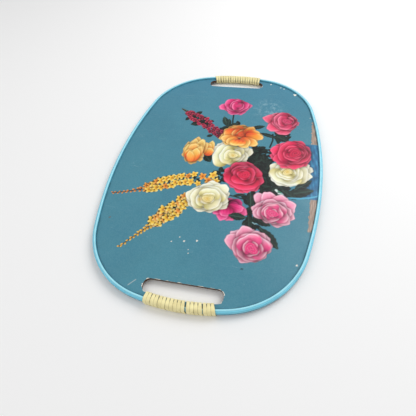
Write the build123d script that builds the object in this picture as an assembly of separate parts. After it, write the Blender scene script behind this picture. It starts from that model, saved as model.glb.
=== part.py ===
"""Oval serving tray: a hardboard base faced with a printed paper sheet, a soft plastic edge trim
pushed over its rim, and two hand slots whose outer bars are wound with flat plastic cane.

Millimetres. The origin is the middle of the underside, +Z is up, and +Y runs along the tray
towards the far handle. The tray stands on the flats worn under the turns of its two windings."""

import os
from math import atan2, ceil, cos, degrees, hypot, pi, radians, sin, sqrt

from build123d import *

# Outline of the tray, measured over the trim: three tangent arcs in each quarter, of which the end
# arc runs on past each end of the hand slot by a margin, and the corner arc joins the other two
tray_length = 450.0
tray_width = 308.0
end_radius = 265.0
end_arc_margin = 6.93
side_radius = 616.0

# Base board and the paper glued to its top
board_thickness = 3.2
sheet_thickness = 0.25

# Edge trim: a C profile that holds the board, with a crest, a flute and a shoulder on each flange
trim_height = 9.0
trim_depth = 4.6
trim_web = 1.6
trim_fillet = 0.4
trim_root_gap = 0.3
crest_flat = 1.6
crest_bevel = 0.6
flute_width = 1.0
flute_rise = 0.3
flute_root_width = 0.3
flute_root_rise = 0.12
shoulder_drop = 1.1
shoulder_height = 1.0
shoulder_setback = 0.6
trim_joint_gap = 1.6
trim_joint_offset = 6.0

# Hand slots, and the bars outside them: a slot's side towards the middle is straight, the other
# runs along the trim, and its width is measured between them at the middle of the slot
slot_length = 96.0
slot_width = 20.7
bar_depth = 10.8
slot_corner_radius = 7.6

# Cane winding on each bar: a flat strip with a crowned outer face
cane_width = 4.35
cane_thickness = 1.15
cane_edge_thickness = 0.7
cane_crown_width = 2.4
cane_turn_gap = 0.33
cane_clearance = 0.1
cane_corner_gap = 0.3
cane_bend_radius = 0.45
cane_bend_step = radians(40)
cane_wear = 0.05
winding_end_gap = 5.5

# Ends of the cane: tucked flat under the board, and folded into the turn that lies over them
tail_width = 3.4
tail_thickness = 0.95
tail_turns = 5
fold_width = 2.2
fold_depth = 1.7
fold_inset = 1.0
fold_bite = 0.35

# Turns that fit between the ends of a slot
cane_pitch = cane_width + cane_turn_gap
cane_turns = int((slot_length - 2 * winding_end_gap) / cane_pitch)

# Heights that follow from the sizes above
trim_bottom = cane_thickness + cane_clearance - cane_wear
trim_top = trim_bottom + trim_height
trim_middle = trim_bottom + trim_height / 2
board_bottom = trim_middle - (board_thickness + sheet_thickness) / 2
board_top = board_bottom + board_thickness
sheet_top = board_top + sheet_thickness

half_length = tray_length / 2
half_width = tray_width / 2
slot_inner_y = half_length - bar_depth - slot_width
end_centre_y = half_length - end_radius
side_centre_x = half_width - side_radius
board_inset = trim_web + trim_root_gap
crest_start = trim_depth - crest_bevel - crest_flat


def corner_arc():
    """The corner arc, which starts where the end arc stops and touches the side arc: (x, y, radius)."""
    reach = slot_length / 2 + end_arc_margin
    ux, uy = reach / end_radius, sqrt(1 - (reach / end_radius) ** 2)
    apart = hypot(side_centre_x, end_centre_y)
    along = end_centre_y * uy - side_centre_x * ux
    rest = side_radius**2 - apart**2 - 2 * end_radius * along - end_radius**2
    radius = rest / (2 * (side_radius - end_radius - along))
    return (end_radius - radius) * ux, end_centre_y + (end_radius - radius) * uy, radius


def outline_arcs():
    """The eight arcs of the outline, anticlockwise: (centre x, centre y, radius, start, end) in degrees."""
    cx, cy, corner_radius = corner_arc()
    side = degrees(atan2(cy, cx - side_centre_x))
    end = degrees(atan2(cy - end_centre_y, cx))
    return [
        (side_centre_x, 0, side_radius, -side, side),
        (cx, cy, corner_radius, side, end),
        (0, end_centre_y, end_radius, end, 180 - end),
        (-cx, cy, corner_radius, 180 - end, 180 - side),
        (-side_centre_x, 0, side_radius, 180 - side, 180 + side),
        (-cx, -cy, corner_radius, 180 + side, 180 + end),
        (0, -end_centre_y, end_radius, 180 + end, 360 - end),
        (cx, -cy, corner_radius, 360 - end, 360 - side),
    ]


def outline_face(inset):
    """The tray's outline moved inwards by inset, as a flat face at height 0."""
    edges = [
        Edge.make_circle(radius - inset, Plane(origin=(x, y, 0)), start, end)
        for x, y, radius, start, end in outline_arcs()
    ]
    return Face(Wire(edges))


def slot_face():
    """The far hand slot: straight inner side, outer side parallel to the end of the tray, round corners."""
    outer_radius = end_radius - bar_depth
    half = slot_length / 2
    shoulder_y = end_centre_y + sqrt(outer_radius**2 - half**2)
    crown_y = end_centre_y + outer_radius
    edges = [
        Edge.make_line((-half, shoulder_y), (-half, slot_inner_y)),
        Edge.make_line((-half, slot_inner_y), (half, slot_inner_y)),
        Edge.make_line((half, slot_inner_y), (half, shoulder_y)),
        Edge.make_three_point_arc((half, shoulder_y), (0, crown_y), (-half, shoulder_y)),
    ]
    face = Face(Wire(edges))
    return fillet(face.vertices(), slot_corner_radius)


def panel(bottom, thickness):
    """A flat panel that fills the trim's groove, with both hand slots cut through it."""
    blank = extrude(outline_face(board_inset), thickness)
    slot = extrude(slot_face(), thickness)
    return Pos(0, 0, bottom) * (blank - slot - Rot(0, 0, 180) * slot)


def flange_points():
    """Outer surface of the upper flange as (depth, height above the middle), from the outside inwards."""
    half = trim_height / 2
    shoulder = half - shoulder_drop
    return [
        (0, shoulder - shoulder_height),
        (shoulder_setback, shoulder),
        (crest_start - flute_width, shoulder + flute_rise),
        (crest_start - flute_root_width, shoulder + flute_root_rise),
        (crest_start, half),
        (trim_depth - crest_bevel, half),
        (trim_depth, half - crest_bevel),
    ]


def trim_section(radius):
    """The C profile in the XZ plane, with its outer face at x = radius and its outer corners rounded."""
    groove_top = sheet_top - trim_middle
    groove_bottom = board_bottom - trim_middle
    upper = flange_points()
    lower = [(depth, -height) for depth, height in reversed(upper)]
    groove = [
        (trim_depth, groove_top),
        (trim_web, groove_top),
        (trim_web, groove_bottom),
        (trim_depth, groove_bottom),
    ]
    points = [(radius - depth, trim_middle + height) for depth, height in upper + groove + lower]
    section = (Plane.XZ * Polygon(*points, align=None)).faces()[0]
    groove_corners = [(radius - depth, trim_middle + height) for depth, height in groove]
    rounded = [
        vertex
        for vertex in section.vertices()
        if trim_bottom < vertex.Z < trim_top
        and all(hypot(vertex.X - x, vertex.Z - z) > trim_fillet for x, z in groove_corners)
    ]
    return section.fillet_2d(trim_fillet, rounded)


def edge_trim():
    """One length of trim bent round the whole outline, its ends meeting at a small gap under a winding."""
    joint_angle = 270 + degrees(trim_joint_offset / end_radius)
    half_gap = degrees(trim_joint_gap / 2 / end_radius)
    pieces = []
    for x, y, radius, start, end in outline_arcs():
        spans = [(start, end)]
        if start < joint_angle < end:
            spans = [(start, joint_angle - half_gap), (joint_angle + half_gap, end)]
        for first, last in spans:
            section = Pos(x, y, 0) * Rot(0, 0, first) * trim_section(radius)
            axis = Axis((x, y, 0), (0, 0, 1))
            pieces.append(revolve(section, axis, last - first))
    return pieces[0].fuse(*pieces[1:])


def bar_hull():
    """The stretched shape that taut cane takes round the bar, as (depth, height) corners, from the
    outside over the shoulder and the crest to the slot, and back underneath."""
    gap = cane_clearance
    half = trim_height / 2
    shoulder = half - shoulder_drop
    board_half = (board_thickness + sheet_thickness) / 2
    top = [
        (-gap, shoulder - shoulder_height),
        (shoulder_setback - gap, shoulder + gap),
        (crest_start, half + gap),
        (trim_depth - crest_bevel, half + gap),
        (bar_depth + cane_corner_gap, board_half + gap),
    ]
    ring = top + [(depth, -height) for depth, height in reversed(top)]
    return [(depth, trim_middle + height) for depth, height in ring]


def bar_stations():
    """Points round the bar where the cane is bent: (depth, height, normal depth, normal height)."""
    ring = bar_hull()
    stations = []
    for i, corner in enumerate(ring):
        before = ring[i - 1]
        after = ring[(i + 1) % len(ring)]
        arriving = atan2(corner[1] - before[1], corner[0] - before[0])
        leaving = atan2(after[1] - corner[1], after[0] - corner[0])
        turn = (leaving - arriving + 3 * pi) % (2 * pi) - pi
        inset = cane_bend_radius / cos(turn / 2)
        bisector = arriving + (turn + pi) / 2
        centre_depth = corner[0] - inset * cos(bisector)
        centre_height = corner[1] - inset * sin(bisector)
        steps = max(1, ceil(abs(turn) / cane_bend_step))
        for step in range(steps + 1):
            normal = arriving + turn * step / steps + pi / 2
            out = cos(normal), sin(normal)
            depth = centre_depth + cane_bend_radius * out[0]
            height = centre_height + cane_bend_radius * out[1]
            stations.append((depth, height, *out))
    return stations


def on_bar(depth, height, along):
    """A point of the far bar from its depth behind the outer face, its height, and its place along the bar."""
    angle = along / end_radius
    radius = end_radius - depth
    return Vector(radius * sin(angle), end_centre_y + radius * cos(angle), height)


def cane_section(station, along):
    """One cross-section of the cane: flat inside, crowned outside."""
    depth, height, normal_depth, normal_height = station
    half = cane_width / 2
    crown = cane_crown_width / 2
    ring = [
        (0, -half),
        (0, half),
        (cane_edge_thickness, half),
        (cane_thickness, crown),
        (cane_thickness, -crown),
        (cane_edge_thickness, -half),
    ]
    points = [
        on_bar(depth + normal_depth * out, height + normal_height * out, along + across)
        for out, across in ring
    ]
    return Wire.make_polygon(points, close=True)


def winding_sections():
    """All cross-sections of one winding: the cane advances by one pitch a turn, in step with its length."""
    stations = bar_stations()
    lengths = [0.0]
    for here, there in zip(stations, stations[1:] + stations[:1]):
        lengths.append(lengths[-1] + hypot(there[0] - here[0], there[1] - here[1]))
    girth = lengths[-1]
    start = -cane_pitch * cane_turns / 2
    sections = []
    for turn in range(cane_turns):
        for station, length in zip(stations, lengths):
            along = start + cane_pitch * (turn + length / girth)
            sections.append(cane_section(station, along))
    return sections


def cane_tail(first, last):
    """A tucked end of the cane, flat against the board's underside between two places along the bar."""
    outer = trim_depth + cane_clearance
    inner = outer + tail_width
    top = board_bottom - cane_clearance
    bottom = top - tail_thickness
    ring = [(outer, bottom), (inner, bottom), (inner, top), (outer, top)]
    corners = [on_bar(depth, height, first) for depth, height in ring]
    section = Face(Wire.make_polygon(corners, close=True))
    axis = Axis((0, end_centre_y, 0), (0, 0, 1))
    return revolve(section, axis, -degrees((last - first) / end_radius))


def cane_fold(along):
    """The short fold that joins a tucked end to the turn that lies over it."""
    depth = trim_depth + cane_clearance + fold_inset
    bottom = trim_bottom - cane_clearance - fold_bite
    top = board_bottom - cane_clearance - tail_thickness / 2
    block = Box(fold_width, fold_depth, top - bottom, align=(Align.CENTER, Align.CENTER, Align.MIN))
    spot = on_bar(depth, bottom, along)
    return Pos(*spot) * Rot(0, 0, -degrees(along / end_radius)) * block


def cane_winding():
    """The cane wound on the far bar, both ends tucked under the turns, and worn flat underneath."""
    coil = Solid.make_loft(winding_sections(), ruled=True)
    reach = cane_pitch * (cane_turns - 1) / 2
    inner = reach - cane_pitch * tail_turns
    tails = [cane_tail(-reach, -inner), cane_tail(inner, reach)]
    folds = [cane_fold(-reach), cane_fold(reach)]
    whole = coil.fuse(*tails, *folds)
    return split(whole, bisect_by=Plane.XY, keep=Keep.TOP)


def build():
    """Every sub-part by name."""
    winding = cane_winding()
    return {
        "base_board": panel(board_bottom, board_thickness),
        "picture_sheet": panel(board_top, sheet_thickness),
        "edge_trim": edge_trim(),
        "far_handle_cane": winding,
        "near_handle_cane": Rot(0, 0, 180) * winding,
    }


os.makedirs("parts", exist_ok=True)
for name, shape in build().items():
    export_step(shape, f"parts/{name}.step")
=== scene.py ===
"""A worn oval serving tray: hardboard faced with a printed picture of roses, a soft blue plastic edge
trim, and two hand bars wound with cream plastic cane. Every place and level comes from the frame."""

from collections import namedtuple
from math import atan2, cos, hypot, pi, radians, sin, sqrt, tau

import bpy
import numpy as np
from bpy.props import FloatProperty, FloatVectorProperty, IntProperty, PointerProperty
from bpy.types import Operator, Panel, PropertyGroup
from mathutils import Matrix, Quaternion, Vector
from mathutils.geometry import delaunay_2d_cdt


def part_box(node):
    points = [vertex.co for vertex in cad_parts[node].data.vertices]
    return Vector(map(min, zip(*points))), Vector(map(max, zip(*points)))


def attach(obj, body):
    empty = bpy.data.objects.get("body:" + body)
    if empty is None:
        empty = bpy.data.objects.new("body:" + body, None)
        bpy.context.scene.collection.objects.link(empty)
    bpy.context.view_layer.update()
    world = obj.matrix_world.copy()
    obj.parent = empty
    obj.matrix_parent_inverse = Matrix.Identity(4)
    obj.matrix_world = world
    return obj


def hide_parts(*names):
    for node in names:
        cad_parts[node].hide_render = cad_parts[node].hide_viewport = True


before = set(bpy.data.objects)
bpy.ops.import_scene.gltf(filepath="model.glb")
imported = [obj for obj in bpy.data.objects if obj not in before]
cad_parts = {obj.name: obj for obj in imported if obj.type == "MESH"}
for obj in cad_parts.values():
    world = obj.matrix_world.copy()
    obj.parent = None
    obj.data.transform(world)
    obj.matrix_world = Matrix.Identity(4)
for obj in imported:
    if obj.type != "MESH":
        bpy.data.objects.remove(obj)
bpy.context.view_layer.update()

bl_info = {
    "name": "Cane-wound picture tray",
    "version": (1, 0, 0),
    "blender": (4, 5, 0),
    "location": "3D View > Sidebar > Picture Tray",
    "description": "Builds a worn serving tray with a printed picture round its packed frame",
    "category": "Object",
}

MM = 0.001


def box_mm(node):
    """Lowest and highest corner of a frame node in millimetres."""
    low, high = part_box(node)
    return np.array(low) / MM, np.array(high) / MM


TRIM_LOW, TRIM_HIGH = box_mm("edge_trim")
BOARD_LOW = box_mm("base_board")[0]
SHEET_LOW, SHEET_HIGH = box_mm("picture_sheet")

# Plan of the tray in millimetres, the arcs that the frame's box doesn't give
END_RADIUS = 265.0
SIDE_RADIUS = 616.0
END_ARC_REACH = 54.93
SLOT_HALF = 48.0
SLOT_WIDTH = 20.7
SLOT_CORNER = 7.6
BAR_DEPTH = 10.8
JOINT_OFFSET = 6.0
TUCKED_TURNS = 5

# The camera's place and aim in millimetres, and its roll in degrees
CAMERA_PLACE = (83.86, -335.22, 362.06)
CAMERA_AIM = (4.07, -78.35, 1.2)
CAMERA_ROLL = -7.01

END_CENTRE = TRIM_HIGH[1] - END_RADIUS
SIDE_CENTRE = TRIM_HIGH[0] - SIDE_RADIUS
SLOT_INNER = TRIM_HIGH[1] - BAR_DEPTH - SLOT_WIDTH
SLOT_ARC = END_RADIUS - BAR_DEPTH
SLOT_ROUND_X = SLOT_HALF - SLOT_CORNER
SLOT_ROUND_Y = END_CENTRE + sqrt((SLOT_ARC - SLOT_CORNER) ** 2 - SLOT_ROUND_X**2)
SLOT_LEAN = atan2(SLOT_ROUND_Y - END_CENTRE, SLOT_ROUND_X)
SHEET_INSET = TRIM_HIGH[0] - SHEET_HIGH[0]
TRIM_MIDDLE = (TRIM_LOW[2] + TRIM_HIGH[2]) / 2


class TraySizes(PropertyGroup):
    """Sizes of the finished pieces that the frame leaves open."""

    trim_depth: FloatProperty(
        name="Trim depth",
        description="How far the trim's flanges reach over the board",
        default=4.6 * MM,
        unit="LENGTH",
    )
    joint_gap: FloatProperty(
        name="Trim joint",
        description="Gap between the two ends of the trim",
        default=1.6 * MM,
        unit="LENGTH",
    )
    cane_width: FloatProperty(
        name="Cane width", description="Width of the flat cane", default=4.6 * MM, unit="LENGTH"
    )
    cane_pitch: FloatProperty(
        name="Cane pitch",
        description="Advance of the cane along the bar in one turn",
        default=4.68 * MM,
        unit="LENGTH",
    )
    cane_thickness: FloatProperty(
        name="Cane thickness",
        description="Thickness of the cane at its crown",
        default=1.1 * MM,
        unit="LENGTH",
    )
    cane_turns: IntProperty(
        name="Cane turns", description="Turns of cane on each bar", default=18, min=1
    )
    print_step: FloatProperty(
        name="Print step",
        description="Distance between the coloured points of the printed picture",
        default=0.72 * MM,
        unit="LENGTH",
    )


class TrayColours(PropertyGroup):
    """Colours of the materials, as a user would pick them."""

    ground: FloatVectorProperty(
        name="Print ground",
        description="Teal ground of the printed picture",
        default=(0.065, 0.245, 0.325),
        subtype="COLOR",
    )
    ground_deep: FloatVectorProperty(
        name="Print ground, deep",
        description="Deeper blue that clouds the ground",
        default=(0.048, 0.205, 0.295),
        subtype="COLOR",
    )
    trim: FloatVectorProperty(
        name="Trim", description="Blue of the edge trim", default=(0.17, 0.62, 0.8), subtype="COLOR"
    )
    cane: FloatVectorProperty(
        name="Cane", description="Cream of the cane", default=(0.97, 0.88, 0.47), subtype="COLOR"
    )
    # Darker than the board's own brown: painted shade for the slot walls.
    hardboard: FloatVectorProperty(
        name="Hardboard",
        description="Brown of the pressed board",
        default=(0.075, 0.034, 0.02),
        subtype="COLOR",
    )


class StageSettings(PropertyGroup):
    """Floor, light and camera round the tray."""

    floor: FloatVectorProperty(
        name="Floor", description="Colour of the floor", default=(0.93, 0.93, 0.93), subtype="COLOR"
    )
    key_power: FloatProperty(
        name="Key light", description="Power of the main light in watts", default=13.0
    )
    fill_power: FloatProperty(
        name="Fill light", description="Power of the fill light in watts", default=4.0
    )
    sky: FloatProperty(name="Sky", description="Strength of the even light", default=0.55)
    lens: FloatProperty(
        name="Lens", description="Focal length in millimetres on a 36 mm sensor", default=28.47
    )


# ---------------------------------------------------------------------------------------------
# Plan geometry, in millimetres


def corner_arc():
    """Centre and radius of the arc that starts where the end arc stops and touches the side arc."""
    ux, uy = END_ARC_REACH / END_RADIUS, sqrt(1 - (END_ARC_REACH / END_RADIUS) ** 2)
    apart = hypot(SIDE_CENTRE, END_CENTRE)
    along = END_CENTRE * uy - SIDE_CENTRE * ux
    rest = SIDE_RADIUS**2 - apart**2 - 2 * END_RADIUS * along - END_RADIUS**2
    radius = rest / (2 * (SIDE_RADIUS - END_RADIUS - along))
    return (END_RADIUS - radius) * ux, END_CENTRE + (END_RADIUS - radius) * uy, radius


CORNER_X, CORNER_Y, CORNER_RADIUS = corner_arc()
SIDE_TURN = atan2(CORNER_Y, CORNER_X - SIDE_CENTRE)
END_TURN = atan2(CORNER_Y - END_CENTRE, CORNER_X)

# The eight arcs anticlockwise from the middle of the near end: centre x, centre y, radius, start, end
ARCS = np.array(
    [
        (0, -END_CENTRE, END_RADIUS, -pi / 2, -END_TURN),
        (CORNER_X, -CORNER_Y, CORNER_RADIUS, -END_TURN, -SIDE_TURN),
        (SIDE_CENTRE, 0, SIDE_RADIUS, -SIDE_TURN, SIDE_TURN),
        (CORNER_X, CORNER_Y, CORNER_RADIUS, SIDE_TURN, END_TURN),
        (0, END_CENTRE, END_RADIUS, END_TURN, pi - END_TURN),
        (-CORNER_X, CORNER_Y, CORNER_RADIUS, pi - END_TURN, pi - SIDE_TURN),
        (-SIDE_CENTRE, 0, SIDE_RADIUS, pi - SIDE_TURN, pi + SIDE_TURN),
        (-CORNER_X, -CORNER_Y, CORNER_RADIUS, pi + SIDE_TURN, pi + END_TURN),
        (0, -END_CENTRE, END_RADIUS, pi + END_TURN, 3 * pi / 2),
    ]
)
ARC_ENDS = np.cumsum(ARCS[:, 2] * (ARCS[:, 4] - ARCS[:, 3]))
OUTLINE_LENGTH = ARC_ENDS[-1]


def outline(places):
    """Points of the tray's outline and their outward directions, at places measured along it from the
    middle of the near end: each place falls on one arc, and its angle is the arc's start plus the
    distance run on that arc divided by its radius."""
    places = np.mod(places, OUTLINE_LENGTH)
    index = np.minimum(np.searchsorted(ARC_ENDS, places, side="right"), len(ARCS) - 1)
    x, y, radius, start, end = ARCS[index].T
    run = places - (ARC_ENDS[index] - radius * (end - start))
    angle = start + run / radius
    out = np.stack([np.cos(angle), np.sin(angle)], -1)
    return np.stack([x, y], -1) + radius[:, None] * out, out


def outline_inset(x, y):
    """Distance of points inside the outline: radius less the distance from the centre of the arc that
    a point faces, which is the corner arc inside its own wedge and else the nearer of the other two."""
    x, y = np.abs(x), np.abs(y)
    side = SIDE_RADIUS - np.hypot(x - SIDE_CENTRE, y)
    end = END_RADIUS - np.hypot(x, y - END_CENTRE)
    corner = CORNER_RADIUS - np.hypot(x - CORNER_X, y - CORNER_Y)
    facing = np.arctan2(y - CORNER_Y, x - CORNER_X)
    return np.where((facing > SIDE_TURN) & (facing < END_TURN), corner, np.minimum(side, end))


def slot_distance(x, y):
    """Distance outside a hand slot, negative inside it. The slot is a shape with sharp corners grown by
    the corner radius, and a point is measured to the side, the corner or the long arc that it faces."""
    x, y = np.abs(x), np.abs(y)
    across = x - SLOT_ROUND_X
    up = y - SLOT_ROUND_Y
    inner = SLOT_INNER + SLOT_CORNER - y
    outer = np.hypot(x, y - END_CENTRE) - (SLOT_ARC - SLOT_CORNER)
    past = np.where(across > 0, np.maximum(inner, up), inner)
    beside = np.hypot(np.maximum(across, 0), np.maximum(past, 0))
    outside = np.where(np.arctan2(up, across) > SLOT_LEAN, np.maximum(outer, 0), beside)
    inside = np.minimum(np.maximum(np.maximum(across, inner), outer), 0)
    return outside + inside - SLOT_CORNER


def slot_loop(grow, spacing):
    """The far hand slot's edge moved out by grow, as evenly spaced points: arcs round the four corners
    and the long arc along the trim, with straight runs between them."""
    inner_y = SLOT_INNER + SLOT_CORNER
    x, outer_y, lean = SLOT_ROUND_X, SLOT_ROUND_Y, SLOT_LEAN
    radius = SLOT_CORNER + grow
    arcs = [
        (x, inner_y, radius, -pi / 2, 0),
        (x, outer_y, radius, 0, lean),
        (0, END_CENTRE, SLOT_ARC + grow, lean, pi - lean),
        (-x, outer_y, radius, pi - lean, pi),
        (-x, inner_y, radius, pi, 3 * pi / 2),
    ]
    points = []
    for centre_x, centre_y, arc_radius, start, end in arcs:
        angle = np.linspace(start, end, 40)
        run = np.stack([np.cos(angle), np.sin(angle)], -1) * arc_radius
        points.append(run + (centre_x, centre_y))
    return even_loop(np.concatenate(points), spacing)


def even_loop(points, spacing):
    """A closed loop cut into equal steps of about the given spacing."""
    closed = np.vstack([points, points[:1]])
    places = np.concatenate([[0], np.cumsum(np.hypot(*np.diff(closed, axis=0).T))])
    count = int(round(places[-1] / spacing))
    wanted = np.arange(count) * places[-1] / count
    return np.stack([np.interp(wanted, places, closed[:, k]) for k in (0, 1)], -1)


def rounded_loop(corners, cut, steps):
    """A closed loop with each corner replaced by a parabola that leaves the two sides at the given
    distance from the corner, or at less than half of a short side."""
    corners = np.array(corners, float)
    ends = []
    for other in (np.roll(corners, 1, axis=0), np.roll(corners, -1, axis=0)):
        side = other - corners
        length = np.hypot(*side.T)[:, None]
        ends.append(corners + side * np.minimum(np.reshape(cut, (-1, 1)) / length, 0.46))
    t = np.linspace(0, 1, steps)[None, :, None]
    before, after, corner = ends[0][:, None], ends[1][:, None], corners[:, None]
    return ((1 - t) ** 2 * before + 2 * t * (1 - t) * corner + t**2 * after).reshape(-1, 2)


def ease(low, high, value):
    """A smooth step from 0 at low to 1 at high."""
    t = np.clip((value - low) / (high - low), 0, 1)
    return t * t * (3 - 2 * t)


def ripple(x, y, length, seed):
    """A smooth uneven value between about -1 and 1: four sine waves of near the given length that run
    in directions picked by the seed."""
    picker = np.random.default_rng(seed)
    total = np.zeros(np.broadcast(x, y).shape)
    for turn, stretch, phase in zip(
        picker.uniform(0, pi, 4), picker.uniform(0.7, 1.6, 4), picker.uniform(0, tau, 4)
    ):
        total += np.sin((x * cos(turn) + y * sin(turn)) * tau * stretch / length + phase)
    return total / 2.4


# ---------------------------------------------------------------------------------------------
# Meshes


def add_object(name, data):
    """A new object at the origin of the scene."""
    thing = bpy.data.objects.new(name, data)
    bpy.context.scene.collection.objects.link(thing)
    return thing


def new_piece(name, points, faces, node, material, smooth=True):
    """A finished piece from points in millimetres, which stands for one frame node."""
    mesh = bpy.data.meshes.new(name)
    mesh.from_pydata((points * MM).tolist(), [], faces)
    mesh.polygons.foreach_set("use_smooth", np.full(len(mesh.polygons), smooth))
    mesh.materials.append(material)
    mesh.update()
    piece = add_object(name, mesh)
    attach(piece, "root")
    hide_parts(node)
    return piece


def tube_faces(rings, around, first=0):
    """Faces of a tube of closed rings, with a flat cap at each end."""
    ring = np.arange(rings - 1)[:, None] * around + first
    here = np.arange(around)[None, :]
    there = (here + 1) % around
    quads = np.stack(
        [ring + here, ring + there, ring + around + there, ring + around + here], -1
    ).reshape(-1, 4)
    last = first + (rings - 1) * around
    caps = [list(range(first + around - 1, first - 1, -1)), list(range(last, last + around))]
    return quads.tolist() + caps


def trim_profile(depth):
    """The trim's C section as a closed loop of (depth from the outside, height above the middle): web,
    shoulder, flute and crest on each flange, with a groove for the board between them."""
    half = (TRIM_HIGH[2] - TRIM_LOW[2]) / 2
    groove_top = SHEET_HIGH[2] - TRIM_MIDDLE
    groove_bottom = BOARD_LOW[2] - TRIM_MIDDLE
    web = 1.6
    upper = [
        (0.0, half - 2.3, 1.2),
        (0.55, half - 1.15, 0.55),
        (depth - 3.3, half - 0.75, 0.5),
        (depth - 2.5, half - 0.95, 0.35),
        (depth - 2.1, half - 0.02, 0.5),
        (depth - 0.7, half, 0.6),
        (depth, half - 0.75, 0.45),
    ]
    groove = [
        (depth, groove_top, 0.12),
        (web, groove_top, 0.1),
        (web, groove_bottom, 0.1),
        (depth, groove_bottom, 0.12),
    ]
    lower = [(x, -z, cut) for x, z, cut in reversed(upper)]
    corners = np.array(upper + groove + lower)
    return rounded_loop(corners[:, :2], corners[:, 2], 5)


def trim_points(sizes):
    """Rings of the trim along the outline from one side of its joint round to the other. A slow wave
    of a tenth of a millimetre keeps the soft extrusion from looking machined. The section is walked
    backwards, because only then do the swept faces look outward."""
    gap = sizes.joint_gap / MM
    start = JOINT_OFFSET + gap / 2
    places = np.linspace(start, OUTLINE_LENGTH + JOINT_OFFSET - gap / 2, 480)
    spots, out = outline(places)
    profile = trim_profile(sizes.trim_depth / MM)[::-1]
    turn = places / OUTLINE_LENGTH * tau
    sag = 0.07 * np.sin(9 * turn + 1) + 0.05 * np.sin(23 * turn)
    lean = 1 - ease(0, sizes.trim_depth / MM, profile[:, 0])
    upper = ease(1.8, 3.6, profile[:, 1])
    depth = profile[None, :, 0] + 0.05 * (1 + np.sin(17 * turn + 2))[:, None] * lean
    height = profile[None, :, 1] + (sag - 0.12)[:, None] * upper * lean
    flat = spots[:, None, :] - depth[..., None] * out[:, None, :]
    points = np.concatenate([flat, (TRIM_MIDDLE + height)[..., None]], -1)
    return points.reshape(-1, 3), tube_faces(len(places), len(profile))


def on_bar(depth, height, along, end):
    """Points by their depth behind the outer face, height and place along a bar. The end is 1 for the
    far bar and -1 for the near one, which is the far one turned by half a circle."""
    angle = along / END_RADIUS
    radius = END_RADIUS - depth
    x = radius * np.sin(angle)
    y = END_CENTRE + radius * np.cos(angle)
    return np.stack([end * x, end * y, height + 0 * x], -1)


def bar_loop():
    """The stretched loop that the inner face of the cane follows round a bar, as (depth, height), from
    the middle of the underside, where both ends of the cane are hidden."""
    half = (TRIM_HIGH[2] - TRIM_LOW[2]) / 2
    board_half = (SHEET_HIGH[2] - BOARD_LOW[2]) / 2
    top = [
        (-0.1, half - 2.1, 1.6),
        (0.5, half - 1.0, 0.8),
        (2.4, half + 0.1, 1.0),
        (4.0, half + 0.1, 1.2),
        (BAR_DEPTH + 0.3, board_half + 0.1, 1.1),
    ]
    corners = np.array(top + [(depth, -height, cut) for depth, height, cut in reversed(top)])
    loop = even_loop(rounded_loop(corners[:, :2], corners[:, 2], 9), 0.62)
    under = np.argmin(np.hypot(loop[:, 0] - 6.5, loop[:, 1] + half))
    return np.roll(loop, -under, axis=0)


def cane_ring(thickness):
    """Section of the cane as (out from the bar, across in halves of the width): a flat inner face and
    a crowned outer face with fine lengthwise ribs."""
    across = np.linspace(-1, 1, 19)
    ribs = 0.045 * np.cos(across * pi * 9)
    crown = thickness * (1 - 0.32 * np.abs(across) ** 5) + ribs * (1 - np.abs(across) ** 6)
    outer = np.stack([crown, across], -1)[::-1]
    inner = np.array([(0.35, -1.0), (0.05, -0.93), (0.0, -0.5), (0.0, 0.5), (0.05, 0.93), (0.35, 1.0)])
    return np.vstack([inner, outer])


def winding_points(sizes, end, gaps, seed):
    """One winding as rings along a helix round the bar. The cane advances by one pitch a turn, with a
    slight uneven drift, and by an extra gap after each named turn, which the others make up for. It
    narrows where it hangs free between the trim and the slot."""
    loop = bar_loop()
    steps = len(loop)
    turns = sizes.cane_turns
    t = np.arange(turns * steps + 1) / steps
    index = np.arange(len(t)) % steps
    tangent = np.roll(loop, -1, axis=0) - np.roll(loop, 1, axis=0)
    normal = np.stack([-tangent[:, 1], tangent[:, 0]], -1) / np.hypot(*tangent.T)[:, None]
    pitch = sizes.cane_pitch / MM
    along = pitch * (t - turns / 2)
    for after, width in gaps:
        along = along + width * (ease(-0.5, 0.5, t - after) - t / turns)
    drift = ripple(t, 0 * t, 2.3, seed) * 0.16 + ripple(t, 0 * t, 0.9, seed + 1) * 0.05
    along = along + drift
    free = ease(5.5, 9.0, loop[:, 0]) * (1 - 0.15 * np.cos(tau * t[:steps]))
    half = sizes.cane_width / MM / 2 * (1 - 0.13 * free[index])
    ring = cane_ring(sizes.cane_thickness / MM)
    lift = 0.05 * (1 + ripple(t, 0 * t, 1.7, seed + 2))
    out = ring[None, :, 0] + lift[:, None]
    depth = loop[index, 0][:, None] + normal[index, 0][:, None] * out
    height = TRIM_MIDDLE + loop[index, 1][:, None] + normal[index, 1][:, None] * out
    height = np.maximum(height, 0.02)
    place = along[:, None] + half[:, None] * ring[None, :, 1]
    points = on_bar(depth, height, place, end)
    return points.reshape(-1, 3), tube_faces(len(t), len(ring))


def tail_points(sizes, end, first, last):
    """A tucked end of the cane: a flat strip under the board between two places along the bar."""
    strip = rounded_loop([(0, 0), (3.4, 0), (3.4, 0.9), (0, 0.9)], 0.3, 4)
    along = np.linspace(first, last, 30)[:, None]
    depth = sizes.trim_depth / MM + 0.15 + strip[None, :, 0] + 0 * along
    height = BOARD_LOW[2] - 0.12 - strip[None, :, 1] + 0 * along
    points = on_bar(depth, height, along + 0 * depth, end)
    return points.reshape(-1, 3), tube_faces(len(along), len(strip))


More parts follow.
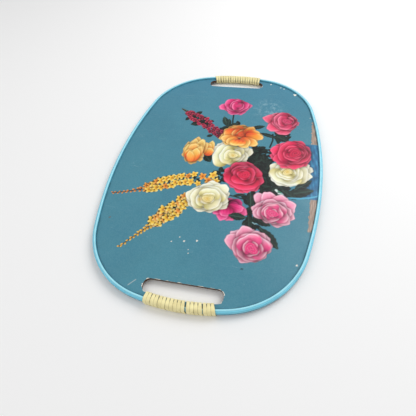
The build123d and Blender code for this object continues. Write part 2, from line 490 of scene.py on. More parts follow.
def cane_points(sizes, end, gaps, seed):
    """A whole cane: its winding and its two tucked ends, as points, faces, and how near each point is
    to the cane's edge, where dirt settles."""
    pitch = sizes.cane_pitch / MM
    reach = pitch * (sizes.cane_turns - 1) / 2
    tucked = pitch * TUCKED_TURNS
    points, faces = winding_points(sizes, end, gaps, seed)
    ring = cane_ring(sizes.cane_thickness / MM)
    edge = np.tile(ease(0.78, 1.0, np.abs(ring[:, 1])), len(points) // len(ring))
    for first, last in ((-reach, tucked - reach), (reach - tucked, reach)):
        more, more_faces = tail_points(sizes, end, first, last)
        faces += [[k + len(points) for k in face] for face in more_faces]
        points = np.concatenate([points, more])
    return points, faces, np.concatenate([edge, np.ones(len(points) - len(edge))])


# ---------------------------------------------------------------------------------------------
# The printed picture, painted in millimetres from the tray's middle

Tones = namedtuple("Tones", "shadow deep body rim core")
Rose = namedtuple("Rose", "tones heart whorl glow petals seed")


def paint(code):
    """A screen colour such as C83250 as linear red, green and blue."""
    value = np.array([int(code[k : k + 2], 16) for k in (0, 2, 4)]) / 255
    return np.where(value <= 0.04045, value / 12.92, ((value + 0.055) / 1.055) ** 2.4)


def tones(*codes):
    """Shadow, deep, body, rim and core colours of a flower."""
    return Tones(*(paint(code) for code in codes))


MAGENTA = tones("8E1448", "CC2068", "F43C88", "FF8AB8", "E02C70")
MAGENTA_DEEP = tones("33081E", "7A1244", "B41C62", "E04C92", "5E0C34")
ROSE_RED = tones("8E1C40", "C43056", "EA486E", "F88AA6", "CC3664")
ORANGE = tones("CC3A20", "F0662C", "FFA03A", "FFDA86", "EE4C28")
AMBER = tones("D8562A", "F68838", "FFB452", "FFE094", "F67C34")
CREAM = tones("AE9F58", "E2D893", "F8F1C8", "FFFEF2", "F8EDB0")
CRIMSON = tones("780C30", "BC1848", "F02C5C", "FA6488", "CC1C48")
SCARLET = tones("A01238", "D01E48", "F2305C", "F8608A", "E0244C")
BLUSH = tones("B02A64", "E85088", "F88CB0", "FFD6E2", "EE3A7E")
YELLOW_HEART = paint("E4B42C")
LEAF = tones("060C0E", "10201E", "22382F", "4C7464", "10201E")
SPRIG_RED = tones("340A16", "861434", "B82848", "D85A76", "5A1028")
SPRIG_OLIVE = tones("1C2014", "34361E", "6E6238", "948452", "2A2A1C")
SPRIG_WINE = tones("1C0A10", "521024", "8C1C3C", "C04864", "2A0C16")
SPRIG_GOLD = tones("7A5016", "EAA02C", "FFD04E", "FFEC98", "D47A2A")
SPRIG_RUST = tones("5A3018", "D07028", "F4A040", "FCC864", "9A4A20")
PAPER = paint("F4EFE2")
VASE = tones("1C4E7C", "206896", "2C82B0", "58B4D4", "1C5C88")
WOOD = tones("7E6A5E", "988274", "B69E8E", "C8B2A2", "988274")


class Print:
    """The picture as a raster of colour, cover and bare paper over the sheet."""

    def __init__(self, step):
        half_x = int(SHEET_HIGH[0] / step) * step
        half_y = int(SHEET_HIGH[1] / step) * step
        self.step = step
        self.xs = np.arange(-half_x, half_x + step / 2, step)
        self.ys = np.arange(-half_y, half_y + step / 2, step)
        self.x, self.y = np.meshgrid(self.xs, self.ys, indexing="ij")
        self.colour = np.zeros((*self.x.shape, 3))
        self.cover = np.zeros(self.x.shape)
        self.bare = np.zeros(self.x.shape)

    def near(self, spots, margin):
        """The part of the raster round some spots."""
        low = np.min(spots, axis=0) - margin
        high = np.max(spots, axis=0) + margin
        x0, x1 = np.searchsorted(self.xs, (low[0], high[0]))
        y0, y1 = np.searchsorted(self.ys, (low[1], high[1]))
        return slice(x0, x1), slice(y0, y1)

    def lay(self, part, colour, cover):
        """Lays a colour over what is there."""
        old = self.cover[part]
        total = cover + old * (1 - cover)
        share = np.where(total > 0, cover / np.maximum(total, 1e-6), 0)[..., None]
        self.colour[part] = self.colour[part] * (1 - share) + colour * share
        self.cover[part] = total

    def darken(self, part, amount):
        """Deepens the colours that are already laid."""
        self.colour[part] *= 1 - amount[..., None]


def blend(a, b, share):
    """Colours between a and b."""
    return a + (b - a) * np.asarray(share)[..., None]


def petal(canvas, base, tip, spread, ink, seed, glow=0.0, ring=0.0, soft=0.8):
    """One petal. Its edge is where |across|^2.3 + |(along - 0.52) / 0.48|^2.6 is 1, drawn in a little
    towards the tip and waved. It runs from the shadow at the base to the body colour, has a pale
    rolled rim and faint veins, is lighter on the side of the glow, and shades what it lies on."""
    base, tip = np.array(base, float), np.array(tip, float)
    aim = tip - base
    reach = hypot(*aim)
    part = canvas.near([base, tip], spread + 4)
    x, y = canvas.x[part] - base[0], canvas.y[part] - base[1]
    along = (x * aim[0] + y * aim[1]) / reach**2
    across = (y * aim[0] - x * aim[1]) / reach / spread
    across = (across + 0.2 * sin(seed * 1.7) * along) / (1.06 - 0.22 * np.clip(along, 0, 1.2) ** 3)
    wave = 0.05 * np.sin(2.1 * across + seed) + 0.022 * np.sin(6.1 * across + 2.3 * seed)
    level = np.abs(across) ** 2.3 + np.abs((along / (1 + wave) - 0.52) / 0.48) ** 2.6
    distance = (level ** (1 / 2.4) - 1) * min(reach * 0.48, spread)
    cover = np.clip(0.5 - distance / soft, 0, 1)
    size = min(1.0, min(reach, spread) / 9)
    shade = np.exp(-np.maximum(distance, 0) / (2.0 * size))
    dark = 1.3 - 0.7 * float(np.mean(ink.body))
    canvas.darken(part, dark * (0.2 + 0.35 * size) * shade * (1 - cover))
    veins = 0.05 * np.sin(across * 13 + 3 * np.sin(along * 3 + seed))
    tone = along + veins + 0.16 * np.sin(across * 1.7 + seed)
    body = blend(ink.body, ink.core, np.full(along.shape, ring))
    colour = blend(ink.shadow, ink.deep, ease(0.0, 0.4, tone))
    colour = blend(colour, body, ease(0.3, 0.78, tone))
    colour = blend(colour, ink.shadow, 0.4 * ease(0.55, 1.0, across * (1 if sin(3.1 * seed) > 0 else -1)))
    outer = ease(0.5, 0.85, along)
    rim = np.exp(-(((distance + 1.0 * size) / (0.9 * size)) ** 2)) * outer
    broad = np.exp(-(((distance + 3.2 * size) / (2.4 * size)) ** 2)) * outer
    colour = blend(colour, ink.rim, np.clip(0.7 * rim + 0.25 * broad, 0, 1))
    facing = cos(atan2(aim[1], aim[0]) - glow)
    colour = colour * (1 + 0.13 * facing + 0.07 * sin(5.3 * seed) + 0.5 * veins[..., None])
    canvas.lay(part, np.clip(colour, 0, 1), cover)


def whorl(canvas, rose, radius):
    """The rolled middle of a rose: a spiral whose tone runs, in each turn, from a dark crease to a
    pale edge. Its distance from the heart is bent by waves, and the crease fades in and out."""
    ink = rose.tones
    part = canvas.near([rose.heart], radius + 3)
    x, y = canvas.x[part] - rose.heart[0], canvas.y[part] - rose.heart[1]
    angle = np.arctan2(y, x * 0.9)
    away = np.hypot(x * 0.92, y)
    away = away * (1 + 0.16 * np.sin(2 * angle + rose.seed) + 0.1 * np.sin(3 * angle + 2 * rose.seed))
    phase = np.mod(away / (radius * 0.42) - angle / tau + rose.seed * 0.37, 1)
    colour = blend(ink.shadow, ink.deep, ease(0.0, 0.25, phase))
    colour = blend(colour, ink.core, ease(0.15, 0.6, phase))
    colour = blend(colour, ink.rim, 0.45 * ease(0.72, 0.92, phase) * (1 - ease(0.94, 1.0, phase)))
    fade = 0.5 + 0.5 * np.sin(angle * 2 + away * 0.6 + rose.seed)
    colour = blend(colour, ink.core, 0.55 * fade)
    colour = blend(colour, ink.shadow, 0.55 * (1 - ease(0.0, radius * 0.28, away)))
    canvas.darken(part, 0.45 * np.exp(-np.maximum(away - radius, 0) / 1.8) * (away > radius))
    canvas.lay(part, colour, np.clip(0.5 - (away - radius) / 0.9, 0, 1))


def paint_rose(canvas, rose):
    """A rose: the listed outer petals, then three rings of smaller ones that follow the same outline,
    each ring laid over the last, and the whorl in the middle."""
    heart = np.array(rose.heart, float)
    glow = radians(rose.glow)
    order = rose.petals[1::2] + rose.petals[::2]
    for k, (x, y, spread) in enumerate(order):
        petal(canvas, heart, (x, y), 1.12 * spread, rose.tones, rose.seed + 1.3 * k, glow)
    tips = np.array([(x, y) for x, y, spread in rose.petals]) - heart
    bearings = np.arctan2(tips[:, 1], tips[:, 0])
    reaches = np.hypot(*tips.T)
    picker = np.random.default_rng(rose.seed)
    for ring, (share, count) in enumerate(((0.77, 5), (0.56, 4), (0.38, 3))):
        start = picker.uniform(0, tau)
        for k in range(count):
            bearing = start + tau * k / count + picker.uniform(-0.35, 0.35)
            reach = share * np.interp(bearing, bearings, reaches, period=tau)
            reach = max(reach * picker.uniform(0.8, 1.1), rose.whorl * 0.7)
            tip = heart + reach * np.array([cos(bearing), sin(bearing)])
            base = heart - 0.12 * reach * np.array([cos(bearing), sin(bearing)])
            spread = reach * picker.uniform(0.68, 0.98)
            seed = picker.uniform(0, tau)
            petal(canvas, base, tip, spread, rose.tones, seed, glow, (ring + 1) / 3)
    whorl(canvas, rose, 0.7 * rose.whorl)


def paint_fans(canvas, fans):
    """Fans of petals that are placed one by one, where a flower isn't round."""
    for ink, glow, foot, tips in fans:
        for k, (x, y, spread) in enumerate(tips):
            petal(canvas, foot, (x, y), spread, ink, 0.7 * x + k, radians(glow))


def paint_leaf(canvas, base, tip, spread, light=0.0):
    """A pointed leaf: across stays within sin(pi along)^0.8, with a pale midrib and one lighter half."""
    base, tip = np.array(base, float), np.array(tip, float)
    aim = tip - base
    reach = hypot(*aim)
    part = canvas.near([base, tip], spread + 2)
    x, y = canvas.x[part] - base[0], canvas.y[part] - base[1]
    along = (x * aim[0] + y * aim[1]) / reach**2
    across = (y * aim[0] - x * aim[1]) / reach / spread
    half = np.sin(pi * np.clip(along, 0.001, 0.999)) ** 0.8
    teeth = 0.05 * np.sin(along * 40)
    cover = np.clip(0.5 - (np.abs(across) - half - teeth) * spread / 0.8, 0, 1)
    cover = cover * (along > 0) * (along < 1)
    tone = 0.35 + 0.35 * ease(-0.4, 0.4, across) + 0.2 * np.sin(along * 22 + across * 5)
    colour = blend(LEAF.shadow, LEAF.body, np.clip(tone + light, 0, 1))
    colour = blend(colour, LEAF.rim, (0.3 + light) * np.exp(-((across / 0.12) ** 2)))
    canvas.darken(part, 0.3 * (1 - cover) * np.exp(-np.maximum(np.abs(across) - half, 0) * 2))
    canvas.lay(part, np.clip(colour, 0, 1), cover)


def line_distance(x, y, spots):
    """Distance of points to the nearest of the straight runs between spots."""
    best = np.full(x.shape, 1e9)
    for (ax, ay), (bx, by) in zip(spots, spots[1:]):
        length = (bx - ax) ** 2 + (by - ay) ** 2
        t = np.clip(((x - ax) * (bx - ax) + (y - ay) * (by - ay)) / length, 0, 1)
        best = np.minimum(best, np.hypot(x - ax - t * (bx - ax), y - ay - t * (by - ay)))
    return best


def paint_line(canvas, spots, width, colour, strength=1.0):
    """A line of even width through spots."""
    part = canvas.near(spots, width + 2)
    distance = line_distance(canvas.x[part], canvas.y[part], spots)
    canvas.lay(part, colour, strength * np.clip(0.5 - (distance - width / 2) / 0.8, 0, 1))


def paint_floret(canvas, spot, radius, ink, turn, points, depth):
    """A small open flower: its edge is the radius times 1 + depth (cos(points x angle) - 1), deep in its
    throat and between its petals and pale at their tips."""
    part = canvas.near([spot], radius + 3)
    x, y = canvas.x[part] - spot[0], canvas.y[part] - spot[1]
    angle = np.arctan2(y, x)
    lobes = np.cos(points * (angle - turn) + 0.5 * np.sin(angle + turn))
    edge = radius * (1 + depth * (lobes - 1)) * (1 + 0.12 * np.cos(2 * angle - turn))
    away = np.hypot(x, y)
    cover = np.clip(0.5 - (away - edge) / 0.7, 0, 1)
    canvas.darken(part, 0.32 * (1 - cover) * np.exp(-np.maximum(away - edge, 0) / 1.0))
    tone = away / edge + 0.25 * lobes
    colour = blend(ink.core, ink.deep, ease(0.0, 0.3, tone))
    colour = blend(colour, ink.body, ease(0.25, 0.6, tone))
    colour = blend(colour, ink.rim, 0.8 * ease(0.75, 1.15, tone))
    canvas.lay(part, colour, cover)


def paint_spike(canvas, spots, widths, count, inks, bud_ink, size, buds, seed, points, depth):
    """A flower spike: along a thin stalk from its tip to its foot, pairs of slim buds that lean to the
    tip, and past the given share of its length two rows of open florets, each on a small dark leaf."""
    picker = np.random.default_rng(seed)
    paint_line(canvas, spots, 1.5, LEAF.shadow)
    spots = np.array(spots, float)
    marks = np.linspace(0, 1, len(spots))
    places = np.linspace(0.0, 1.0, count) + picker.uniform(-0.35, 0.35, count) / count
    for k, place in enumerate(places):
        here, ahead, behind = (
            np.array([np.interp(place + step, marks, spots[:, axis]) for axis in (0, 1)])
            for step in (0, 0.02, -0.02)
        )
        aim = atan2(*(behind - ahead)[::-1])
        across = np.array([-sin(aim), cos(aim)])
        width = np.interp(place, marks, widths)
        side = 1 if k % 2 else -1
        ink = inks[int(picker.integers(len(inks)))]
        if place < buds:
            lean = aim + side * picker.uniform(0.3, 0.75)
            reach = size * (0.5 + 0.09 * width)
            first = here + side * 0.3 * width * across
            tip = first + reach * np.array([cos(lean), sin(lean)])
            petal(canvas, first, tip, reach * 0.3, bud_ink, picker.uniform(0, tau), 1.2, 0.0, 0.6)
        else:
            off = side * picker.uniform(0.3, 0.95) * width
            spot = here + off * across
            radius = size * picker.uniform(0.8, 1.15)
            paint_leaf(canvas, here, spot + 0.9 * radius * side * across, 0.8 * radius, -0.3)
            turn = aim + off / 9 + picker.uniform(-0.4, 0.4)
            paint_floret(canvas, spot, radius, ink, turn, points, depth)


def paint_band(canvas, ys, lefts, rights, ink, grain, seed, ragged=0.0):
    """A patch between two upright lines x = left(y) and x = right(y), streaked along its length."""
    part = canvas.near([(min(lefts), min(ys)), (max(rights), max(ys))], 2)
    x, y = canvas.x[part], canvas.y[part]
    wobble = ragged * ripple(x * 0, y, 9, seed)
    left = np.interp(y, ys, lefts) + wobble
    right = np.interp(y, ys, rights)
    inside = np.minimum(np.minimum(x - left, right - x), np.minimum(y - min(ys), max(ys) - y))
    streak = 0.5 + 0.5 * ripple(x * 2.2, y * 0.35, grain, seed + 1)
    colour = blend(ink.shadow, ink.body, np.clip(0.35 + 0.65 * streak, 0, 1))
    colour = blend(colour, ink.rim, 0.35 * ease(0.75, 1.0, streak))
    canvas.lay(part, colour, np.clip(0.5 + inside / 0.9, 0, 1))


def paint_chip(canvas, x, y, size, seed, strength=1.0):
    """A chip down to bare paper: a blot whose radius waves three and five times round it."""
    part = canvas.near([(x, y)], size + 2)
    dx, dy = canvas.x[part] - x, canvas.y[part] - y
    angle = np.arctan2(dy, dx)
    edge = size / 2 * (1 + 0.25 * np.sin(3 * angle + seed) + 0.15 * np.sin(5 * angle + 2 * seed))
    cover = strength * np.clip(0.5 - (np.hypot(dx, dy) - edge) / 0.8, 0, 1)
    canvas.lay(part, PAPER, cover)
    canvas.bare[part] = np.maximum(canvas.bare[part], cover)


FOLIAGE_MASSES = (
    # middle x, middle y, half-width, half-height, leaves
    (62, 30, 15, 19, 60),
    (64, 8, 18, 16, 50),
    (76, -14, 8, 16, 34),
    (77, -34, 9, 12, 34),
    (94, -38, 16, 6, 26),
    (90, 68, 12, 9, 16),
    (70, -96, 12, 6, 14),
    (62, -72, 5, 22, 16),
    (14, -24, 7, 14, 12),
    (14, 86, 12, 5, 9),
    (-12, 68, 12, 16, 14),
    (-38, 92, 12, 10, 18),
    (-60, 106, 7, 6, 9),
)

LEAVES = (
    # base, tip, half-width, lightness
    ((4, 84), (-6, 109), 5.5, 0.35),
    ((5, 84), (4, 104), 4.0, 0.1),
    ((4, 85), (20, 94), 4.0, 0.1),
    ((42, 84), (64, 92), 4.5, 0.0),
    ((86, 66), (57, 75), 4.0, 0.0),
    ((82, 74), (102, 76), 5.0, 0.0),
    ((84, 70), (102, 60), 6.0, 0.0),
    ((-20, 16), (-8, 2), 6.5, 0.0),
    ((-16, 18), (-3, 9), 4.5, 0.0),
    ((104, -46), (142, -33), 8.5, 0.05),
    ((116, -36), (139, -15), 6.0, 0.0),
    ((100, -38), (120, -52), 6.0, 0.0),
    ((34, -90), (58, -91), 6.0, 0.25),
    ((66, -88), (90, -99), 6.5, 0.0),
    ((60, -86), (64, -108), 5.0, 0.0),
    ((76, -103), (102, -131), 7.5, 0.0),
    ((58, -48), (62, -76), 5.0, 0.2),
    ((52, -52), (34, -58), 2.5, 0.1),
)

STEMS = (
    # spots, width
    (((9, 118), (10, 100), (12, 86)), 2.6),
    (((78, 74), (79, 60), (76, 44)), 2.6),
    (((26, -56), (40, -59), (56, -62)), 2.0),
    (((60, -44), (61, -70), (66, -104)), 3.6),
)

ROSES_BEHIND = (
    Rose(
        CREAM, (106, -3), 8, 230,
        ((80, 5, 11), (80, -12, 10), (88, -27, 12), (101, -32, 12), (115, -29, 11), (125, -19, 10),
         (137, -12, 10), (140, 3, 9), (133, 14, 10), (110, 15, 12)), 3,
    ),
    Rose(
        CREAM, (23, 20), 8, 190,
        ((-10, 33, 10), (-4, 44, 11), (8, 48, 12), (24, 50, 11), (38, 47, 10), (50, 34, 10),
         (47, 20, 9), (45, 9, 9), (30, 6, 10), (15, 0, 11), (2, 4, 10), (-9, 16, 10)), 5,
    ),
)

LOOSE_PETALS = (
    # tones, glow, foot, and the tip and half-width of each petal
    (MAGENTA, 240, (28, -74), ((56, -86, 10), (42, -98, 10), (26, -99, 9), (11, -89, 8), (38, -63, 8))),
    (MAGENTA_DEEP, 240, (30, -74), ((51, -70, 9), (44, -73, 6))),
    (MAGENTA, 240, (30, -76), ((53, -79, 7), (30, -93, 9))),
    (AMBER, 60, (-18, 14), ((-15, 46, 7), (-21, 43, 7), (-13, 32, 7))),
    (AMBER, 120, (-36, 2), ((-24, 42, 9), (-51, 40, 9), (-37, 51, 12), (-45, 47, 9), (-29, 48, 8))),
    (ORANGE, 120, (-35, 4), ((-27, 36, 7),)),
    (
        AMBER, 120, (-38, 20),
        ((-57, 22, 9), (-54, 10, 8), (-45, -1, 8), (-34, -7, 8), (-24, 1, 7), (-21, 14, 6)),
    ),
    (AMBER, 120, (-36, 0), ((-50, 34, 9), (-39, 40, 10), (-29, 32, 7))),
    (ORANGE, 120, (-44, 4), ((-47, 25, 6),)),
    (AMBER, 120, (-38, -2), ((-35, 27, 8), (-44, 20, 6))),
    (BLUSH, 70, (90, -76), ((65, -51, 10), (79, -44, 11), (105, -49, 13), (121, -65, 13))),
)

FRONT_PETALS = (
    # as above, laid over the orange rose
    (ORANGE, 300, (35, 68), ((47, 86, 8), (57, 76, 9), (63, 64, 8))),
    (AMBER, 280, (27, 56), ((-3, 55, 8), (58, 51, 9), (10, 45, 10), (45, 45, 11), (27, 41, 12))),
)

ROSES = (
    Rose(
        MAGENTA, (13, 140), 7, 170,
        ((-21, 135, 8), (-7, 152, 10), (3, 158, 9), (15, 157, 9), (26, 150, 9), (36, 139, 8),
         (30, 129, 8), (23, 118, 10), (8, 114, 10), (-3, 121, 9)), 11,
    ),
    Rose(
        ROSE_RED, (97, 108), 9, 190,
        ((60, 111, 11), (71, 122, 10), (83, 125, 9), (93, 130, 10), (105, 123, 9), (113, 114, 9),
         (118, 103, 6), (112, 92, 9), (100, 86, 9), (85, 75, 13), (71, 84, 11), (67, 98, 10)), 12,
    ),
    Rose(
        ORANGE, (29, 68), 8, 280,
        ((1, 75, 11), (10, 86, 11), (22, 90, 12), (34, 88, 9), (44, 87, 9), (55, 76, 10),
         (62, 62, 10), (55, 49, 12), (40, 46, 11), (24, 41, 12), (8, 43, 12), (-3, 54, 10)), 13,
    ),
    Rose(
        CRIMSON, (114, 36), 12, 190,
        ((77, 34, 12), (85, 46, 12), (96, 59, 12), (113, 64, 13), (126, 54, 12), (138, 40, 12),
         (136, 25, 11), (128, 11, 12), (113, 4, 13), (98, 5, 12), (85, 14, 12), (79, 25, 10)), 15,
    ),
    Rose(
        SCARLET, (46, -17), 10, 250,
        ((14, -16, 11), (22, -3, 11), (33, 7, 12), (47, 10, 12), (60, 0, 11), (69, -13, 10),
         (73, -27, 11), (66, -42, 11), (55, -49, 11), (42, -50, 12), (29, -43, 11), (20, -34, 10)), 16,
    ),
    Rose(
        CREAM, (2, -67), 9, 120,
        ((-28, -56, 12), (-18, -47, 11), (-5, -41, 12), (9, -35, 12), (22, -40, 11), (28, -53, 10),
         (30, -67, 10), (29, -78, 10), (18, -86, 11), (3, -89, 12), (-13, -87, 12), (-26, -78, 11)), 17,
    ),
    Rose(
        BLUSH, (90, -79), 9, 100,
        ((64, -69, 9), (74, -60, 10), (88, -56, 11), (104, -60, 11), (113, -70, 10), (118, -82, 9),
         (113, -92, 9), (103, -98, 9), (90, -96, 10), (76, -90, 9), (65, -82, 9)), 18,
    ),
    Rose(
        BLUSH, (70, -135), 10, 110,
        ((37, -128, 11), (43, -115, 10), (56, -105, 11), (68, -109, 9), (80, -109, 10), (89, -116, 10),
         (95, -126, 9), (90, -137, 9), (84, -149, 10), (72, -154, 11), (60, -155, 9), (50, -144, 10)), 19,
    ),
)

CHIPS = (
    # x, y, width of each chip down to the paper
    (107, 180, 4.6), (63, 207.5, 2.2), (81, 199, 1.8), (87, 196, 1.8), (-80, 213, 2.4), (125, -149, 1.8),
    (-14, -138, 1.9), (2, -135, 2.0), (-21, -133, 1.2), (-30, -141, 1.2), (-6, -149, 0.9),
    (-5, -154, 0.9), (134, 120, 1.0), (99, 194, 1.3),
)


# Flower spikes from tip to foot, in the order of paint_spike's values after the canvas
SPIKES = (
    (
        ((-82, 121.5), (-70, 114), (-58, 104), (-40, 94), (-20, 75), (-2, 63)),
        (0.5, 4, 8, 9.5, 9.5, 8), 54,
        (SPRIG_RED, SPRIG_RED, SPRIG_WINE), SPRIG_OLIVE, 4.1, 0.2, 21, 3, 0.1,
    ),
    (
        ((-135, -76), (-119, -72), (-99, -65), (-85, -58), (-70, -51.5), (-51, -41), (-30, -36), (8, -27)),
        (0.2, 0.6, 2.5, 7, 9, 9, 10, 12), 42,
        (SPRIG_GOLD, SPRIG_GOLD, SPRIG_GOLD, SPRIG_RUST), SPRIG_RUST, 6.9, 0.36, 22, 5, 0.22,
    ),
    (
        ((-94, -158.5), (-79, -139.5), (-67, -125), (-58, -112), (-47, -99), (-37, -87), (-27, -68)),
        (0.2, 0.5, 2.2, 6, 10, 8, 6), 44,
        (SPRIG_GOLD, SPRIG_GOLD, AMBER), SPRIG_GOLD, 7.2, 0.4, 23, 5, 0.22,
    ),
)


def paint_picture(step):
    """The whole picture, from the back to the front: foliage, vase, table, spikes, roses and wear."""
    canvas = Print(step)
    paint_band(canvas, (-49, -20, 57), (112, 122, 126), (160, 160, 160), VASE, 10, 31)
    paint_band(canvas, (58, 111), (137, 137), (160, 160), WOOD, 7, 32, 0.7)
    paint_band(canvas, (-101, -49), (136, 138), (160, 160), WOOD, 7, 33, 0.7)
    for spots, width in STEMS:
        paint_line(canvas, spots, width, LEAF.deep)
    picker = np.random.default_rng(40)
    for x, y, wide, high, count in FOLIAGE_MASSES:
        for _ in range(count):
            base = np.array([x, y]) + picker.uniform(-0.75, 0.75, 2) * (wide, high)
            bearing = picker.uniform(0, tau)
            reach = picker.uniform(8, 15)
            tip = base + reach * np.array([cos(bearing), sin(bearing)])
            paint_leaf(canvas, base, tip, reach * 0.3, picker.uniform(-0.35, 0.1))
    for base, tip, spread, light in LEAVES:
        paint_leaf(canvas, base, tip, spread, light)
    paint_line(canvas, ((109, -50.5), (124, -49.5), (138, -46), (150, -41)), 2.6, VASE.rim, 0.85)
    paint_line(canvas, ((92, -39), (94, -41)), 3.2, paint("E4F2EE"))
    paint_line(canvas, ((96, -44.5), (101, -45.5)), 2.6, paint("CFE6E0"))
    paint_line(canvas, ((95, -40.5), (99, -42.5)), 2.0, paint("3F8A6C"))
    paint_line(canvas, ((67, -97), (70, -99), (72, -98)), 1.2, paint("9AC8D0"), 0.9)
    for spike in SPIKES:
        paint_spike(canvas, *spike)
    for rose in ROSES_BEHIND:
        paint_rose(canvas, rose)
    paint_fans(canvas, LOOSE_PETALS)
    paint_leaf(canvas, (34, -90), (58, -91), 6.0, 0.2)
    for rose in ROSES:
        paint_rose(canvas, rose)
    paint_fans(canvas, FRONT_PETALS)
    for x, y, radius in ((105, -3, 5), (1, -68, 6), (23, 20, 3.5), (-9, -70, 3)):
        part = canvas.near([(x, y)], radius * 2.5)
        away = np.hypot(canvas.x[part] - x, canvas.y[part] - y)
        canvas.lay(part, YELLOW_HEART, 0.6 * np.exp(-((away / radius) ** 2)) * (canvas.cover[part] > 0.5))
    for k, (x, y, size) in enumerate(CHIPS):
        paint_chip(canvas, x, y, size, k * 1.9)
    paint_line(canvas, ((-65, -206), (-61, -201.5), (-58, -198)), 1.0, PAPER, 0.4)
    paint_line(canvas, ((62, -164), (63.5, -164)), 2.2, paint("2C4A50"), 0.8)
    paint_line(canvas, ((-124, -118), (-123, -117)), 1.8, paint("7A5A3C"), 0.7)
    return canvas


def edge_paper(x, y):
    """How far the paper is rubbed bare along the hand slots: a ragged band under a millimetre wide at
    the near slot, wider at its ends, and only traces of it at the far one."""
    width = 0.12 + 0.4 * ripple(x, y, 13, 51) + 0.3 * ripple(x, y, 3.4, 52)
    width = width + 0.55 * ease(38, 48, np.abs(x)) * ease(0.2, 0.5, ripple(x, y, 9, 54))
    width = np.where(y < 0, width, width - 0.35)
    return np.clip((width - slot_distance(x, y)) / 0.4, 0, 1)


def trim_dirt_and_shade(x, y):
    """A dark band against the trim, dirt with painted shade under its lip: strongest there and gone
    some millimetres in.
    """
    inset = outline_inset(x, y)
    reach = 6.6 + 1.1 * ripple(x, y, 23, 53)
    return 1 - ease(4.4, reach, inset)


def triangulated(points, links, keep):
    """Triangles of a flat set of points that holds the given links, anticlockwise, as indices of the
    points given. Only those whose middle passes the test are kept."""
    given = [Vector(point) for point in points.tolist()]
    _, _, triangles, sources, _, _ = delaunay_2d_cdt(given, links.tolist(), [], 0, 1e-6)
    source = np.array([first[0] for first in sources])
    triangles = source[np.array(triangles)]
    return triangles[keep(*points[triangles].mean(axis=1).T)]


def closed_links(counts, first=0):
    """Links that close each of several loops of points that follow one another."""
    links = []
    for count in counts:
        index = np.arange(count)
        links.append(np.stack([index, (index + 1) % count], -1) + first)
        first += count
    return np.concatenate(links)


def fine_cells(canvas):
    """The raster's cells that carry ink, widened by one and kept off the sheet's edges."""
    printed = canvas.cover > 0.01
    clear = (outline_inset(canvas.x, canvas.y) > SHEET_INSET + 0.5)
    clear &= slot_distance(canvas.x, canvas.y) > 3.2
    ink = printed[:-1, :-1] | printed[1:, :-1] | printed[:-1, 1:] | printed[1:, 1:]
    allowed = clear[:-1, :-1] & clear[1:, :-1] & clear[:-1, 1:] & clear[1:, 1:]
    return grown(ink) & allowed


def grown(cells):
    """Cells and their neighbours on the four sides."""
    wide = cells.copy()
    for axis in (0, 1):
        for shift in (-1, 1):
            wide |= np.roll(cells, shift, axis)
    return wide


